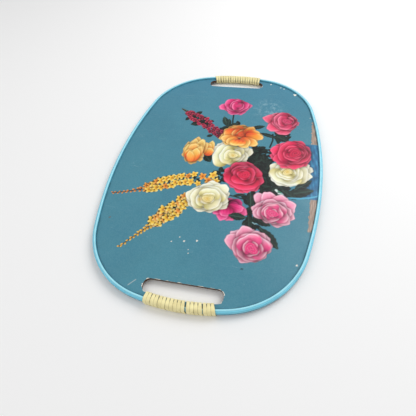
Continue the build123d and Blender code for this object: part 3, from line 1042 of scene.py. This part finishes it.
def sheet_points(canvas):
    """The paper as a closed sheet. Its printed parts are a fine grid of coloured points, the plain rest
    is triangles between that grid, the sheet's edges and some lines along them, and the walls and the
    underside close it. Returns points, faces, colours with cover, bare paper, and the band of dirt
    with painted shade against the trim."""
    fine = fine_cells(canvas)
    i, j = np.nonzero(fine)
    used = np.zeros(canvas.x.shape, bool)
    corner_i, corner_j = np.stack([i, i + 1, i + 1, i]), np.stack([j, j, j + 1, j + 1])
    used[corner_i, corner_j] = True
    node = np.full(canvas.x.shape, -1)
    node[used] = np.arange(used.sum())
    quads = node[corner_i, corner_j].T
    grid = np.stack([canvas.x[used], canvas.y[used]], -1)

    padded = np.pad(fine, 1)
    border = []
    for di, dj, a, b in ((-1, 0, 3, 0), (1, 0, 1, 2), (0, -1, 0, 1), (0, 1, 2, 3)):
        open_side = ~padded[i + 1 + di, j + 1 + dj]
        border.append(quads[open_side][:, [a, b]])
    border = np.concatenate(border)
    rim = np.unique(border)

    count = int(OUTLINE_LENGTH / 1.6)
    spots, out = outline(np.arange(count) * OUTLINE_LENGTH / count)
    loops = [spots - SHEET_INSET * out, -slot_loop(0, 0.8)[::-1], slot_loop(0, 0.8)[::-1]]
    sizes = [len(loop) for loop in loops]
    edge = np.concatenate(loops)

    def cell(x, y):
        """The raster cell that each point falls in."""
        column = np.floor((x - canvas.xs[0]) / canvas.step).astype(int)
        row = np.floor((y - canvas.ys[0]) / canvas.step).astype(int)
        return np.clip(column, 0, fine.shape[0] - 1), np.clip(row, 0, fine.shape[1] - 1)

    def on_sheet(x, y):
        """Whether points are on the paper."""
        return (outline_inset(x, y) > SHEET_INSET) & (slot_distance(x, y) > 0)

    coarse = np.stack(np.meshgrid(np.arange(-150, 151, 11.0), np.arange(-220, 221, 11.0)), -1)
    lines = [coarse.reshape(-1, 2)]
    lines += [(spots - depth * out)[::2] for depth in (4.5, 5.4, 6.6, 8.6)]
    lines += [slot_loop(grow, 0.8) * end for grow in (0.3, 0.65, 1.1, 1.8) for end in (1, -1)]
    loose = np.concatenate(lines)
    clear = (outline_inset(*loose.T) > SHEET_INSET + 0.4) & (slot_distance(*loose.T) > 0.2)
    loose = loose[clear & ~grown(grown(fine))[cell(*loose.T)]]

    plain = np.concatenate([grid[rim], edge, loose])
    links = np.concatenate([np.searchsorted(rim, border), closed_links(sizes, len(rim))])
    top = triangulated(plain, links, lambda x, y: on_sheet(x, y) & ~fine[cell(x, y)])
    under = triangulated(edge, closed_links(sizes), on_sheet)

    index = np.concatenate([rim, np.arange(len(edge) + len(loose)) + len(grid)])
    low = len(grid) + len(edge) + len(loose)
    a, b = closed_links(sizes).T
    walls = np.stack([b + len(grid), a + len(grid), a + low, b + low], -1)
    faces = quads.tolist() + index[top].tolist() + walls.tolist() + (under[:, ::-1] + low).tolist()

    plan = np.concatenate([grid, edge, loose, edge])
    height = np.where(np.arange(len(plan)) < low, SHEET_HIGH[2], SHEET_LOW[2])
    colours = np.zeros((len(plan), 4))
    colours[: len(grid)] = np.concatenate([canvas.colour[used], canvas.cover[used][:, None]], -1)
    bare = np.zeros(len(plan))
    bare[: len(grid)] = canvas.bare[used]
    worn = np.where(np.arange(len(plan)) < low, edge_paper(*plan.T), 0.45)
    colours = blend(colours, np.append(PAPER, 1.0), worn)
    points = np.concatenate([plan, height[:, None]], -1)
    return points, faces, colours, np.maximum(bare, worn), trim_dirt_and_shade(*plan.T)


# ---------------------------------------------------------------------------------------------
# Materials


class Nodes:
    """Places nodes in a tree. An input given as a socket is linked, anything else is set."""

    def __init__(self, tree):
        self.tree = tree

    def add(self, kind, inputs=None, **settings):
        """A new node with its settings and inputs."""
        node = self.tree.nodes.new(kind)
        for name, value in settings.items():
            setattr(node, name, value)
        self.fill(node, inputs or {})
        return node

    def fill(self, node, inputs):
        """Links the inputs that are given as sockets and sets the others."""
        for name, value in inputs.items():
            if isinstance(value, bpy.types.NodeSocket):
                self.tree.links.new(value, node.inputs[name])
            else:
                node.inputs[name].default_value = value

    def group(self, name, **inputs):
        """The outputs of a shared node group, which is made when it is first asked for."""
        tree = bpy.data.node_groups.get(name) or GROUP_MAKERS[name]()
        return self.add("ShaderNodeGroup", inputs, node_tree=tree).outputs

    def attribute(self, name):
        """A number kept on the mesh's points."""
        return self.add("ShaderNodeAttribute", attribute_name=name).outputs["Fac"]

    def bump(self, height, strength, distance):
        """A normal that follows a height."""
        inputs = {"Height": height, "Strength": strength, "Distance": distance}
        return self.add("ShaderNodeBump", inputs).outputs["Normal"]

    def noise(self, place, scale, detail=3.0, rough=0.55):
        """A noise value."""
        inputs = {"Vector": place, "Scale": scale, "Detail": detail, "Roughness": rough}
        return self.add("ShaderNodeTexNoise", inputs).outputs["Fac"]

    def span(self, value, low, high, to_low=0.0, to_high=1.0):
        """A value moved from one range to another, smoothly and held at its ends."""
        inputs = {"Value": value, 1: low, 2: high, 3: to_low, 4: to_high}
        node = self.add("ShaderNodeMapRange", inputs, interpolation_type="SMOOTHSTEP")
        return node.outputs["Result"]

    def math(self, operation, a, b=0.0):
        """One sum on two values."""
        return self.add("ShaderNodeMath", {0: a, 1: b}, operation=operation).outputs[0]

    def mix(self, share, a, b):
        """A colour between two."""
        return self.add("ShaderNodeMix", {0: share, 6: a, 7: b}, data_type="RGBA").outputs[2]


def new_group(name, inputs, outputs):
    """An empty node group with named sockets: (name, kind, default) in, (name, kind) out."""
    tree = bpy.data.node_groups.new(name, "ShaderNodeTree")
    for socket, kind, default in inputs:
        made = tree.interface.new_socket(socket, in_out="INPUT", socket_type=f"NodeSocket{kind}")
        if default is not None:
            made.default_value = default
    for socket, kind in outputs:
        tree.interface.new_socket(socket, in_out="OUTPUT", socket_type=f"NodeSocket{kind}")
    nodes = Nodes(tree)
    return nodes, nodes.add("NodeGroupInput").outputs, nodes.add("NodeGroupOutput").inputs


def cloud_group():
    """Clouds of a second colour over a first, at two scales, as dyes and prints fade unevenly."""
    inputs = [("Vector", "Vector", None), ("Colour", "Color", None), ("Cloud", "Color", None)]
    inputs += [("Scale", "Float", 10.0), ("Amount", "Float", 0.5)]
    nodes, given, result = new_group("fading_clouds", inputs, [("Colour", "Color")])
    broad = nodes.noise(given["Vector"], given["Scale"], 2.0)
    small = nodes.noise(given["Vector"], nodes.math("MULTIPLY", given["Scale"], 7.0), 4.0)
    both = nodes.math("ADD", nodes.math("MULTIPLY", broad, 0.75), nodes.math("MULTIPLY", small, 0.25))
    share = nodes.math("MULTIPLY", nodes.span(both, 0.36, 0.64), given["Amount"])
    nodes.tree.links.new(nodes.mix(share, given["Colour"], given["Cloud"]), result["Colour"])
    return nodes.tree


def dirt_and_shade_group():
    """A dark film in broken patches, and fine dark specks, both stronger where the mask is: handling dirt,
    and painted shade where a material's mask marks shade. It also gives the roughness that the film adds."""
    inputs = [("Vector", "Vector", None), ("Colour", "Color", None), ("Dirt_and_shade", "Color", None)]
    inputs += [("Mask", "Float", 0.0), ("Amount", "Float", 0.3), ("Scale", "Float", 60.0)]
    outputs = [("Colour", "Color"), ("Roughness", "Float")]
    nodes, given, result = new_group("dirt_and_shade_film", inputs, outputs)
    patch = nodes.span(nodes.noise(given["Vector"], given["Scale"], 5.0, 0.65), 0.42, 0.7)
    specks = nodes.noise(given["Vector"], nodes.math("MULTIPLY", given["Scale"], 9.0), 2.0)
    specks = nodes.span(specks, 0.7, 0.76)
    film = nodes.math("MULTIPLY", nodes.math("MAXIMUM", patch, specks), given["Amount"])
    # Where the mask marks shade, this strong film is painted shade.
    masked = nodes.math("MULTIPLY", given["Mask"], nodes.span(patch, 0, 1, 0.55, 0.9))
    film = nodes.math("ADD", film, masked)
    film = nodes.math("MINIMUM", film, 1.0)
    nodes.tree.links.new(nodes.mix(film, given["Colour"], given["Dirt_and_shade"]), result["Colour"])
    nodes.tree.links.new(nodes.math("MULTIPLY", film, 0.3), result["Roughness"])
    return nodes.tree


def relief_group():
    """Fine unevenness of a moulded, pressed or lacquered face, as a height: small grain on slow waves."""
    inputs = [("Vector", "Vector", None), ("Grain", "Float", 900.0), ("Wave", "Float", 90.0)]
    nodes, given, result = new_group("fine_relief", inputs, [("Height", "Float")])
    grain = nodes.noise(given["Vector"], given["Grain"], 2.0)
    wave = nodes.noise(given["Vector"], given["Wave"], 2.0)
    height = nodes.math("ADD", nodes.math("MULTIPLY", grain, 0.35), nodes.math("MULTIPLY", wave, 0.65))
    nodes.tree.links.new(height, result["Height"])
    return nodes.tree


def scratch_group():
    """Fine scratches as a mask: thin lines where a stretched noise crosses its middle, in two
    directions, kept to broken patches."""
    inputs = [("Vector", "Vector", None), ("Scale", "Float", 30.0), ("Width", "Float", 0.012)]
    nodes, given, result = new_group("fine_scratches", inputs, [("Mask", "Float")])
    masks = []
    for turn, stretch in ((0.5, 14.0), (-0.9, 10.0)):
        mapped = nodes.add(
            "ShaderNodeMapping",
            {"Vector": given["Vector"], "Rotation": (0, 0, turn), "Scale": (1.0, stretch, 1.0)},
        ).outputs["Vector"]
        value = nodes.noise(mapped, given["Scale"], 0.0)
        off = nodes.math("ABSOLUTE", nodes.math("SUBTRACT", value, 0.5))
        line = nodes.math("LESS_THAN", off, given["Width"])
        where = nodes.span(nodes.noise(mapped, nodes.math("MULTIPLY", given["Scale"], 0.4)), 0.55, 0.7)
        masks.append(nodes.math("MULTIPLY", line, where))
    nodes.tree.links.new(nodes.math("MAXIMUM", *masks), result["Mask"])
    return nodes.tree


GROUP_MAKERS = {
    "fading_clouds": cloud_group,
    "dirt_and_shade_film": dirt_and_shade_group,
    "fine_relief": relief_group,
    "fine_scratches": scratch_group,
}


def new_material(name):
    """An empty material with its shader, ready for links."""
    material = bpy.data.materials.new(name)
    material.use_nodes = True
    nodes = Nodes(material.node_tree)
    shader = material.node_tree.nodes["Principled BSDF"]
    place = nodes.add("ShaderNodeTexCoord").outputs["Object"]
    return material, nodes, shader, place


def full(colour):
    """A colour with its alpha."""
    return (*colour[:3], 1.0)


def picture_material(colours):
    """Printed paper under worn lacquer: a clouded teal ground, darker and bluer towards the far end as
    painted shade, with the painted picture over it, print mottle, dirt with painted shade against the
    trim, bare paper where it is chipped, scuffs made stronger as a painted sheen, and fine scratches."""
    material, nodes, shader, place = new_material("printed_paper")
    ink = nodes.add("ShaderNodeAttribute", attribute_name="print_ink").outputs
    bare = nodes.attribute("bare_paper")
    near, deep = full(colours.ground), full(colours.ground_deep)
    cloud = nodes.group("fading_clouds", Vector=place, Colour=near, Cloud=deep, Scale=7.0, Amount=0.6)
    axes = nodes.add("ShaderNodeSeparateXYZ", {"Vector": place}).outputs
    # Painted shade: the ground turns darker and bluer towards the far end.
    far = nodes.math("MULTIPLY", nodes.span(axes["Y"], 0.05, 0.24), 0.35)
    ground = nodes.mix(far, cloud["Colour"], full(paint("327AA0")))
    mottle = nodes.span(nodes.noise(place, 620.0, 3.0, 0.7), 0.35, 0.65, 0.0, 0.1)
    ground = nodes.mix(mottle, ground, full(paint("8CB8C4")))
    colour = nodes.mix(ink["Alpha"], ground, ink["Color"])
    # A pale hazy patch at the far right: scuffed lacquer, made stronger as a painted sheen.
    scuff_and_sheen_spot = nodes.add("ShaderNodeMapping", {"Vector": place, "Location": (-0.065, -0.137, 0)})
    scuff_and_sheen_away = nodes.add("ShaderNodeVectorMath", {0: scuff_and_sheen_spot.outputs["Vector"]}, operation="LENGTH")
    scuff_and_sheen = nodes.span(scuff_and_sheen_away.outputs["Value"], 0.036, 0.006)
    scuff_and_sheen = nodes.math("MULTIPLY", scuff_and_sheen, nodes.span(nodes.noise(place, 130.0, 6.0, 0.75), 0.46, 0.66))
    colour = nodes.mix(nodes.math("MULTIPLY", scuff_and_sheen, 0.5), colour, full(paint("A9CDD6")))
    scratch = nodes.group("fine_scratches", Vector=place)["Mask"]
    colour = nodes.mix(nodes.math("MULTIPLY", scratch, 0.22), colour, full(paint("9FC4CC")))
    # Dirt with painted shade: the dark film is laid heavily in the band against the trim's lip.
    film = {"Mask": nodes.attribute("trim_dirt_and_shade"), "Dirt_and_shade": full(paint("123038"))}
    dirt = nodes.group("dirt_and_shade_film", Vector=place, Colour=colour, Amount=0.05, Scale=42.0, **film)
    haze = nodes.span(nodes.noise(place, 24.0, 4.0, 0.6), 0.35, 0.7, 0.30, 0.44)
    rough = nodes.math("ADD", haze, dirt["Roughness"])
    rough = nodes.math("ADD", rough, nodes.math("MULTIPLY", scuff_and_sheen, 0.15))
    rough = nodes.math("ADD", rough, nodes.math("MULTIPLY", bare, 0.5))
    relief = nodes.group("fine_relief", Vector=place, Grain=1100.0, Wave=160.0)
    height = nodes.math("SUBTRACT", relief["Height"], nodes.math("MULTIPLY", bare, 2.0))
    height = nodes.math("SUBTRACT", height, nodes.math("MULTIPLY", scratch, 0.4))
    nodes.fill(shader, {
        "Base Color": nodes.mix(bare, dirt["Colour"], full(PAPER)),
        "Roughness": nodes.math("MINIMUM", rough, 0.95),
        "Specular IOR Level": 0.35,
        "Normal": nodes.bump(height, 0.35, 0.00006),
    })
    return material


def trim_material(colours):
    """Soft blue vinyl: faintly clouded, chalky and dirty in its flute, a painted highlight along its
    crest, painted shade that turns its lower outer side deeper blue and darker, and a satin shine."""
    material, nodes, shader, place = new_material("trim_vinyl")
    chalk = full(paint("62BCDA"))
    base = full(colours.trim)
    cloud = nodes.group("fading_clouds", Vector=place, Colour=base, Cloud=chalk, Scale=18.0, Amount=0.45)
    height = nodes.add("ShaderNodeSeparateXYZ", {"Vector": place}).outputs["Z"]
    # Painted shade: towards its lower outer side the trim turns deeper blue and darker.
    low = nodes.span(height, (TRIM_MIDDLE + 2.5) * MM, (TRIM_LOW[2] + 1.5) * MM)
    # Painted highlight: the crest is mixed towards pale blue.
    crest = nodes.span(height, (TRIM_HIGH[2] - 1.3) * MM, (TRIM_HIGH[2] - 0.1) * MM, 0.0, 0.75)
    colour = nodes.mix(crest, cloud["Colour"], full(paint("B4F2FF")))
    colour = nodes.mix(nodes.math("MULTIPLY", low, 0.75), colour, full(paint("2E7E98")))
    # Painted shade: the dark film is also laid heavily on the lower outer side.
    film = {"Mask": nodes.math("MULTIPLY", low, 0.5), "Dirt_and_shade": full(paint("2A5A66"))}
    dirt = nodes.group("dirt_and_shade_film", Vector=place, Colour=colour, Amount=0.12, Scale=90.0, **film)
    satin = nodes.span(nodes.noise(place, 70.0, 4.0), 0.3, 0.7, 0.27, 0.42)
    relief = nodes.group("fine_relief", Vector=place, Grain=1400.0, Wave=210.0)
    nodes.fill(shader, {
        "Base Color": dirt["Colour"],
        "Roughness": nodes.math("ADD", satin, dirt["Roughness"]),
        "Specular IOR Level": 0.5,
        "Subsurface Weight": 0.06,
        "Subsurface Radius": (0.001, 0.002, 0.0025),
        "Normal": nodes.bump(relief["Height"], 0.4, 0.0001),
    })
    return material


def cane_material(colours):
    """Cream plastic cane: faint yellowed clouds, and dirt between the turns."""
    material, nodes, shader, place = new_material("cane_vinyl")
    base = full(colours.cane)
    yellow = full(paint("E6D596"))
    cloud = nodes.group("fading_clouds", Vector=place, Colour=base, Cloud=yellow, Scale=60.0, Amount=0.5)
    film = {"Mask": nodes.attribute("cane_edge"), "Dirt_and_shade": full(paint("6A5C30"))}
    colour = cloud["Colour"]
    dirt = nodes.group("dirt_and_shade_film", Vector=place, Colour=colour, Amount=0.12, Scale=120.0, **film)
    satin = nodes.span(nodes.noise(place, 160.0, 3.0), 0.3, 0.7, 0.34, 0.5)
    relief = nodes.group("fine_relief", Vector=place, Grain=2600.0, Wave=500.0)
    nodes.fill(shader, {
        "Base Color": dirt["Colour"],
        "Roughness": nodes.math("ADD", satin, dirt["Roughness"]),
        "Specular IOR Level": 0.45,
        "Normal": nodes.bump(relief["Height"], 0.4, 0.00008),
    })
    return material


def hardboard_material(colours):
    """Pressed brown hardboard, its brown darkened as painted shade: matted fibres, dirt, and the screen's
    woven print on the underside.
    """
    material, nodes, shader, place = new_material("hardboard")
    fibres = nodes.add("ShaderNodeMapping", {"Vector": place, "Scale": (1.0, 2.4, 6.0)}).outputs["Vector"]
    base = full(colours.hardboard)
    tan = full(paint("64402A"))
    cloud = nodes.group("fading_clouds", Vector=fibres, Colour=base, Cloud=tan, Scale=85.0, Amount=0.7)
    film = {"Colour": cloud["Colour"], "Dirt_and_shade": full(paint("241710"))}
    dirt = nodes.group("dirt_and_shade_film", Vector=place, Amount=0.3, Scale=30.0, **film)
    axes = nodes.add("ShaderNodeSeparateXYZ", {"Vector": place}).outputs
    mesh = 2 * pi / (1.3 * MM)
    weave = []
    for axis in ("X", "Y"):
        wave = nodes.math("SINE", nodes.math("MULTIPLY", axes[axis], mesh))
        weave.append(nodes.math("ABSOLUTE", wave))
    screen = nodes.math("MAXIMUM", *weave)
    under = nodes.span(axes["Z"], (BOARD_LOW[2] + 0.3) * MM, BOARD_LOW[2] * MM)
    relief = nodes.group("fine_relief", Vector=fibres, Grain=700.0, Wave=150.0)
    height = nodes.math("ADD", relief["Height"], nodes.math("MULTIPLY", screen, under))
    nodes.fill(shader, {
        "Base Color": dirt["Colour"],
        "Roughness": 0.82,
        "Normal": nodes.bump(height, 0.7, 0.00025),
    })
    return material


def floor_material(stage):
    """The plain pale floor."""
    material, nodes, shader, _ = new_material("pale_floor")
    nodes.fill(shader, {"Base Color": full(stage.floor), "Roughness": 0.9})
    return material


def set_value(mesh, name, values):
    """One number for each point of a mesh."""
    layer = mesh.attributes.new(name, "FLOAT", "POINT")
    layer.data.foreach_set("value", np.asarray(values, np.float32))


# ---------------------------------------------------------------------------------------------
# Stage, in metres


def aimed(spot, aim):
    """The turn of a lamp or a camera that stands at a spot and faces an aim."""
    return (Vector(aim) - Vector(spot)).to_track_quat("-Z", "Y")


def add_floor(stage):
    """A square floor under the tray."""
    half = 4.0
    mesh = bpy.data.meshes.new("floor")
    corners = [(-half, -half, 0), (half, -half, 0), (half, half, 0), (-half, half, 0)]
    mesh.from_pydata(corners, [], [(0, 1, 2, 3)])
    mesh.materials.append(floor_material(stage))
    add_object("floor", mesh)


def add_lights(stage):
    """A main light from behind on the right, a weaker one on the left, and an even white sky."""
    lights = (
        ("key_light", (0.75, 0.75, 1.05), stage.key_power, 0.9),
        ("fill_light", (-0.95, -0.55, 1.0), stage.fill_power, 1.4),
    )
    for name, spot, power, size in lights:
        light = bpy.data.lights.new(name, "AREA")
        light.energy = power
        light.size = size
        lamp = add_object(name, light)
        lamp.location = spot
        lamp.rotation_mode = "QUATERNION"
        lamp.rotation_quaternion = aimed(spot, (0, 0, 0))
    world = bpy.data.worlds.new("studio")
    world.use_nodes = True
    background = world.node_tree.nodes["Background"]
    background.inputs["Color"].default_value = (1.0, 1.0, 1.0, 1.0)
    background.inputs["Strength"].default_value = stage.sky
    bpy.context.scene.world = world


def add_camera(stage):
    """The scene's camera, rolled a little to its side."""
    camera = bpy.data.cameras.new("camera")
    camera.lens = stage.lens
    camera.sensor_width = 36.0
    viewer = add_object("camera", camera)
    spot = Vector(CAMERA_PLACE) * MM
    roll = Quaternion((0, 0, 1), radians(CAMERA_ROLL))
    viewer.location = spot
    viewer.rotation_mode = "QUATERNION"
    viewer.rotation_quaternion = aimed(spot, Vector(CAMERA_AIM) * MM) @ roll
    bpy.context.scene.camera = viewer


# ---------------------------------------------------------------------------------------------
# Operators


class TRAY_OT_base_board(Operator):
    """Finish the hardboard base"""

    bl_idname = "tray.base_board"
    bl_label = "Base Board"

    def execute(self, context):
        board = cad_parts["base_board"]
        board.data.materials.clear()
        board.data.materials.append(hardboard_material(context.scene.tray_colours))
        return {"FINISHED"}


class TRAY_OT_picture_sheet(Operator):
    """Build the printed paper with its picture of roses"""

    bl_idname = "tray.picture_sheet"
    bl_label = "Picture Sheet"

    def execute(self, context):
        canvas = paint_picture(context.scene.tray_sizes.print_step / MM)
        points, faces, colours, bare, trim_dirt_and_shade_values = sheet_points(canvas)
        material = picture_material(context.scene.tray_colours)
        sheet = new_piece(
            "printed_picture", points, faces, "picture_sheet", material, smooth=False
        )
        layer = sheet.data.color_attributes.new("print_ink", "FLOAT_COLOR", "POINT")
        layer.data.foreach_set("color", colours.astype(np.float32).ravel())
        set_value(sheet.data, "bare_paper", bare)
        # The band of dirt with painted shade against the trim's lip.
        set_value(sheet.data, "trim_dirt_and_shade", trim_dirt_and_shade_values)
        return {"FINISHED"}


class TRAY_OT_edge_trim(Operator):
    """Build the blue edge trim"""

    bl_idname = "tray.edge_trim"
    bl_label = "Edge Trim"

    def execute(self, context):
        points, faces = trim_points(context.scene.tray_sizes)
        material = trim_material(context.scene.tray_colours)
        new_piece("blue_edge_trim", points, faces, "edge_trim", material)
        return {"FINISHED"}


class TRAY_OT_windings(Operator):
    """Wind the cane on both hand bars"""

    bl_idname = "tray.windings"
    bl_label = "Cane Windings"

    def execute(self, context):
        sizes = context.scene.tray_sizes
        material = cane_material(context.scene.tray_colours)
        windings = (
            ("far_handle_cane", 1, ((2, 0.5),), 61),
            ("near_handle_cane", -1, ((3, 0.9), (7, 1.3)), 67),
        )
        for node, end, gaps, seed in windings:
            points, faces, edge = cane_points(sizes, end, gaps, seed)
            cane = new_piece(f"{node}_wound", points, faces, node, material)
            set_value(cane.data, "cane_edge", edge)
        return {"FINISHED"}


class TRAY_OT_stage(Operator):
    """Set up the floor, the lights and the camera"""

    bl_idname = "tray.stage"
    bl_label = "Stage"

    def execute(self, context):
        stage = context.scene.tray_stage
        add_floor(stage)
        add_lights(stage)
        add_camera(stage)
        context.scene.view_settings.view_transform = "Standard"
        return {"FINISHED"}


OPERATORS = (
    TRAY_OT_base_board,
    TRAY_OT_picture_sheet,
    TRAY_OT_edge_trim,
    TRAY_OT_windings,
    TRAY_OT_stage,
)


class TRAY_PT_sidebar(Panel):
    """Lists the tray's pieces and settings"""

    bl_label = "Picture Tray"
    bl_idname = "TRAY_PT_sidebar"
    bl_space_type = "VIEW_3D"
    bl_region_type = "UI"
    bl_category = "Picture Tray"

    def draw(self, context):
        for settings in (
            context.scene.tray_sizes,
            context.scene.tray_colours,
            context.scene.tray_stage,
        ):
            column = self.layout.column()
            for name in settings.bl_rna.properties.keys():
                if name not in ("rna_type", "name"):
                    column.prop(settings, name)
        for operator in OPERATORS:
            self.layout.operator(operator.bl_idname)


SETTINGS = {"tray_sizes": TraySizes, "tray_colours": TrayColours, "tray_stage": StageSettings}


def register():
    """Registers the settings, the operators and the panel."""
    for name, settings in SETTINGS.items():
        bpy.utils.register_class(settings)
        setattr(bpy.types.Scene, name, PointerProperty(type=settings))
    for item in (*OPERATORS, TRAY_PT_sidebar):
        bpy.utils.register_class(item)


def unregister():
    """Takes away what register added."""
    for item in (TRAY_PT_sidebar, *reversed(OPERATORS)):
        bpy.utils.unregister_class(item)
    for name, settings in SETTINGS.items():
        delattr(bpy.types.Scene, name)
        bpy.utils.unregister_class(settings)


def main():
    register()
    bpy.ops.tray.base_board()
    bpy.ops.tray.picture_sheet()
    bpy.ops.tray.edge_trim()
    bpy.ops.tray.windings()
    bpy.ops.tray.stage()


if __name__ == "__main__":
    main()
